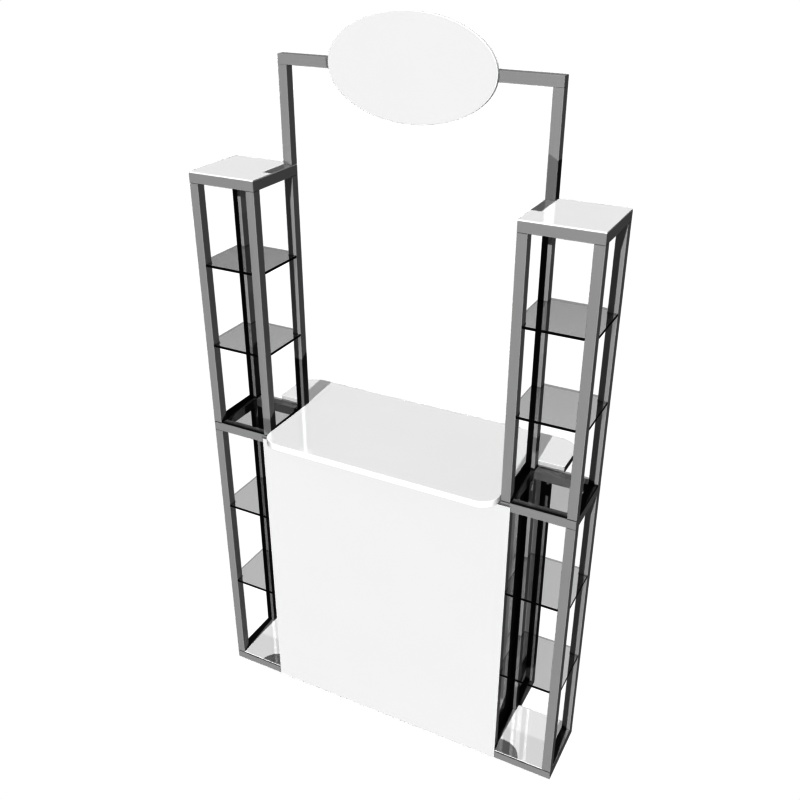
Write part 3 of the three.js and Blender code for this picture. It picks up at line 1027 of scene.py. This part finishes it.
# %% [markdown]
# ## Studio light
# Three lights make the photograph's tones, and its shadow edges say where they stand. One is in front and a
# little above, one is behind and high up, and a weaker one is at the front right, below the station's foot,
# so that the tops throw their shadows upwards. Two more at the rear left show the left side and the back,
# which the photograph doesn't see. Area lamps would fade over the height of the station, and sun lamps
# don't. The tones add up in the photograph as plain numbers, without a display curve, so the view transform
# is Raw, and no light is thrown from piece to piece, so diffuse bounces are off.

# %% Studio light
LIGHT_ANGLE = 0.12
AMBIENT = 0.06


def studio_light(name, azimuth, elevation, strength):
    """A sun that stands at azimuth, from the front towards +X, and elevation, both in degrees."""
    data = bpy.data.lights.new(name, "SUN")
    data.energy = strength * math.pi
    data.angle = math.radians(LIGHT_ANGLE)
    lamp = bpy.data.objects.new(name, data)
    lamp.rotation_euler = (math.radians(90 - elevation), 0, math.radians(azimuth))
    bpy.context.scene.collection.objects.link(lamp)
    print(name, "at azimuth", azimuth, "and elevation", elevation)


studio_light("front_light", azimuth=4.1, elevation=23.5, strength=1.11)
studio_light("top_light", azimuth=180, elevation=71.2, strength=0.856)
studio_light("right_light", azimuth=51, elevation=-22.4, strength=0.658)
studio_light("left_light", azimuth=-115, elevation=-10, strength=0.72)
studio_light("back_light", azimuth=-155, elevation=-10, strength=0.85)

world = bpy.data.worlds.new("studio")
world.use_nodes = True
world.node_tree.nodes["Background"].inputs["Color"].default_value = grey(1.0)
world.node_tree.nodes["Background"].inputs["Strength"].default_value = AMBIENT
bpy.context.scene.world = world
bpy.context.scene.view_settings.view_transform = "Raw"
bpy.context.scene.cycles.diffuse_bounces = 0

# %% [markdown]
# ## Floor
# The station stands on a plain pale sweep: a flat floor that curves up into a wall all round. It is a
# profile carried round a circle, because a flat plane would show its edge in a low view. Most of its
# brightness is its own, so that shadows on it stay faint, and it is left out of reflections and shadows so
# that it doesn't wash out the dark sides of the tubes.

# %% Floor
FLOOR_CENTRE = 0.001
FLOOR_RADIUS = 9.0
SWEEP_RADIUS = 4.0
SWEEP_STEPS = 16
SWEEP_SIDES = 96
WALL_HEIGHT = 12.0


def studio_sweep():
    """The sweep's profile (r, z) is a flat run, a quarter round and a wall, carried round a circle.

    point(u, v) = (r(v) * cos u, r(v) * sin u, z(v)), and one small face closes the middle.
    """
    turn = np.linspace(0, math.pi / 2, SWEEP_STEPS + 1)
    curve_r = FLOOR_RADIUS + SWEEP_RADIUS * np.sin(turn)
    curve_z = SWEEP_RADIUS * (1 - np.cos(turn))
    r = np.concatenate([[FLOOR_CENTRE], curve_r, [FLOOR_RADIUS + SWEEP_RADIUS]])
    z = np.concatenate([[0.0], curve_z, [WALL_HEIGHT]])
    around = np.linspace(0, 2 * math.pi, SWEEP_SIDES, endpoint=False)
    x = r[:, None] * np.cos(around)
    y = r[:, None] * np.sin(around)
    points = np.stack([x, y, np.broadcast_to(z[:, None], x.shape)], axis=-1)
    row, column = grid_cells(len(r), SWEEP_SIDES, close_rows=False)
    faces = (row * SWEEP_SIDES + column % SWEEP_SIDES)[:, ::-1]
    centre = np.arange(SWEEP_SIDES)
    mesh = bpy.data.meshes.new("studio_sweep")
    mesh.from_pydata(points.reshape(-1, 3).tolist(), [], [*faces.tolist(), centre.tolist()])
    mesh.polygons.foreach_set("use_smooth", [True] * len(mesh.polygons))
    return bpy.data.objects.new("studio_sweep", mesh)


def pale_floor():
    """A dull floor that is lit mostly by itself."""
    finish = Finish("pale_floor")
    shader = finish.surface({
        "Base Color": grey(0.02),
        "Roughness": 0.9,
        "Specular IOR Level": 0.0,
        "Emission Color": grey(1.0),
        "Emission Strength": 0.995,
    })
    return finish.show(shader)


sweep = studio_sweep()
sweep.data.materials.append(pale_floor())
sweep.visible_diffuse = False
sweep.visible_glossy = False
sweep.visible_shadow = False
bpy.context.scene.collection.objects.link(sweep)
